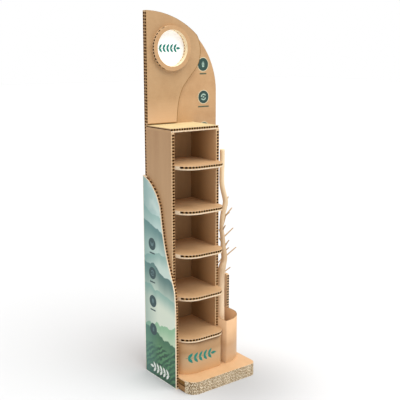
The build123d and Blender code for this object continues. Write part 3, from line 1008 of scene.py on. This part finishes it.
# The strip is smooth cream paper, lit warm by the board round it.
card, strip = 1.5, 0.6
mesh = bmesh.new()
loops = []
rear, front = cabinet_depth - card, ring_back - cabinet_board
for inset, y in ((0, rear), (0, front), (strip, front), (strip, rear)):
    circle = ring_points(badge_x, badge_z, hole_radius - inset, round_steps)
    loops.append([mesh.verts.new(row(x, y, z)) for x, z in circle])
for one, two in zip(loops, loops[1:] + loops[:1]):
    for k in range(round_steps):
        j = (k + 1) % round_steps
        mesh.faces.new([one[k], one[j], two[j], two[k]]).smooth = True
bmesh.ops.recalc_face_normals(mesh, faces=mesh.faces)
lining_paper = paper("cream_lining_strip", "#fbe9c6", "#f2dcb2", roughness=0.55)
lining = finish_piece("badge_ring_lining", mesh, [lining_paper])
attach(lining, "root")


def in_hole(angle, y):
    # A point just inside the lining.
    reach = hole_radius - strip - 0.2
    return (badge_x + reach * math.cos(angle), y, badge_z + reach * math.sin(angle))


# Brown marks on the lining where the flute mouths would show through it: painted shade of
# the mouths.
shapes = []
mark_half, front, rear = 0.035, 201, 207
for k in range(-5, 6):
    for side in (0.0, math.pi):
        middle = side + math.asin(k * flute_pitch / hole_radius)
        low, high = middle - mark_half, middle + mark_half
        shapes.append([(low, front), (high, front), (high, rear), (low, rear)])
mouth_shade_ink = ink("mouth_marks_painted_shade", "#b9793f", "#a56a35")
print_on("badge_lining_mouths", shapes, in_hole, mouth_shade_ink)

# Coated card, whiter than any paper round it, with a faint glow of painted light.
white_card = paper("white_coated_card", "#fdfdfe", "#f8f8fa", roughness=0.5, painted_glow=0.2)
disc = plain_sheet(
    "white_badge_disc",
    ring_points(badge_x, badge_z, hole_radius - 0.5, round_steps),
    lambda u, v, w: (u, cabinet_depth - w, v),
    card,
    white_card,
)
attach(disc, "root")
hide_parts("badge_disc")
shapes = sprig(badge_x, badge_z, 132, 5, 26, 12)
print_on("badge_disc_sprig", shapes, on_backboard(card + 0.2), teal_ink)


# Branch
# A peeled natural stem with cut twigs, pale and dry, standing on the base inside the bin.
# It leans and swells a little along its length.
def bare_wood(name, colour, darker, painted_light_and_shade=()):
    # Wood: pale and dull, with darker grain drawn out along the stem. Real grain is under
    # 1 mm wide, and drawn 6 mm wide so that it shows.
    made, tree, place = start_material(name)
    grain_width = 6.25
    drawn_out = (1.0, 1.0, 0.06)
    stretch = add_node(tree, "ShaderNodeMapping", {"Vector": place, "Scale": drawn_out})
    look = {"Vector": stretch, "Scale": 1000 / grain_width, "Detail": 4.0, "Roughness": 0.6}
    grain = add_node(tree, "ShaderNodeTexNoise", look)
    tint = laid_over(tree, colour, darker, grain, 0.35, 0.7)
    tint = lay_painted_light_and_shade(tree, place, tint, painted_light_and_shade)
    finish_material(tree, {"Base Color": tint, "Roughness": 0.7}, (grain, 0.35, 0.001))
    return made


def add_tube(mesh, rings, kind):
    # A closed tube through rings of points, with the material numbered kind on its side.
    loops = [[mesh.verts.new(row(*p)) for p in ring] for ring in rings]
    for one, two in zip(loops, loops[1:]):
        for k in range(len(one)):
            j = (k + 1) % len(one)
            made = mesh.faces.new([one[k], one[j], two[j], two[k]])
            made.smooth = True
            made.material_index = kind
    mesh.faces.new(loops[0][::-1])
    mesh.faces.new(loops[-1])


# The stem's stations: how far it leans to the right, height above the base and radius.
foot = Vector((314, 16, base_height))
stem_stations = [
    (-4, 0, 20.0), (-4, 210, 19.4), (-5, 297, 18.9), (-5, 377, 18.6), (-3, 446, 18.6),
    (4, 482, 19.0), (14, 512, 16.4), (17, 530, 15.4), (14, 560, 14.8), (9, 590, 13.2),
    (8, 615, 12.4), (4, 645, 11.8), (-1, 683, 10.8), (-1, 715, 10.8), (6, 756, 12.8),
    (14, 785, 13.4), (22, 813, 13.2), (20, 836, 13.2), (8, 874, 12.6), (-1, 912, 12.0),
    (-2, 967, 11.9), (0, 1032, 11.8), (0, 1085, 12.0),
]
mesh = bmesh.new()
places = smooth_curve([(z, x) for x, z, radius in stem_stations], 5)
radii = smooth_curve([(z, radius) for x, z, radius in stem_stations], 5)
sides, knob = 24, 40
rings = []
for (z, x), (z, radius) in zip(places, radii):
    ring = []
    for across, ahead in ring_points(0, 0, 1, sides):
        turn = Vector((across, ahead, 0))
        knobbly = 1 + 0.05 * noise.noise(turn + Vector((0, 0, z / knob)))
        ring.append(foot + Vector((x, 0, z)) + turn * radius * knobbly)
    rings.append(ring)
add_tube(mesh, rings, 0)

# Each twig's foot and tip, from the stem's foot, and its own foot's radius.
twigs = [
    ((0, 0, 684), (31, 4, 755), 5.2), ((27, 3, 748), (76, 14, 779), 3.6),
    ((27, 3, 748), (44, -6, 764), 3.6), ((20, 0, 812), (47, 8, 841), 3.6),
    ((0, 0, 668), (1, -28, 708), 3.6), ((4, 0, 633), (88, 18, 671), 3.6),
    ((9, 0, 584), (36, -15, 623), 3.6), ((10, 0, 578), (40, 4, 604), 3.6),
    ((14, 0, 560), (31, -20, 586), 3.6), ((17, 0, 532), (98, 4, 571), 3.6),
    ((-2, 0, 446), (68, 14, 466), 3.6), ((6, 0, 606), (-20, -4, 640), 3.6),
    ((-1, 0, 655), (-21, -4, 684), 3.6), ((8, 0, 535), (-21, 0, 510), 3.6),
]
tip_radius, sides = 2.6, 10
for start, tip, foot_radius in twigs:
    start, end = foot + Vector(start), foot + Vector(tip)
    along = (end - start).normalized()
    side = along.orthogonal().normalized()
    up = along.cross(side)
    rings = []
    for share in (0.0, 0.3, 0.6, 0.85, 1.0):
        centre = start.lerp(end, share)
        radius = foot_radius + (tip_radius - foot_radius) * share
        turns = ring_points(0, 0, radius, sides)
        rings.append([centre + side * across + up * ahead for across, ahead in turns])
    add_tube(mesh, rings, 1)
bmesh.ops.recalc_face_normals(mesh, faces=mesh.faces)

# The peeled stem is painted paler low down and near the top, painted light, and its twigs
# are browner.
stem_wood = bare_wood(
    "peeled_branch_wood", "#d3b896", "#bd9d78",
    painted_light_and_shade=[("Z", 0.32, 0.54, "#eed4b2"), ("Z", 1.00, 0.72, "#ecd3ad")],
)
twig_bark = bare_wood("thin_twig_bark", "#bb9a72", "#987651")
stem = finish_piece("peeled_branch", mesh, [stem_wood, twig_bark])
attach(stem, "root")
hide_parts("branch")
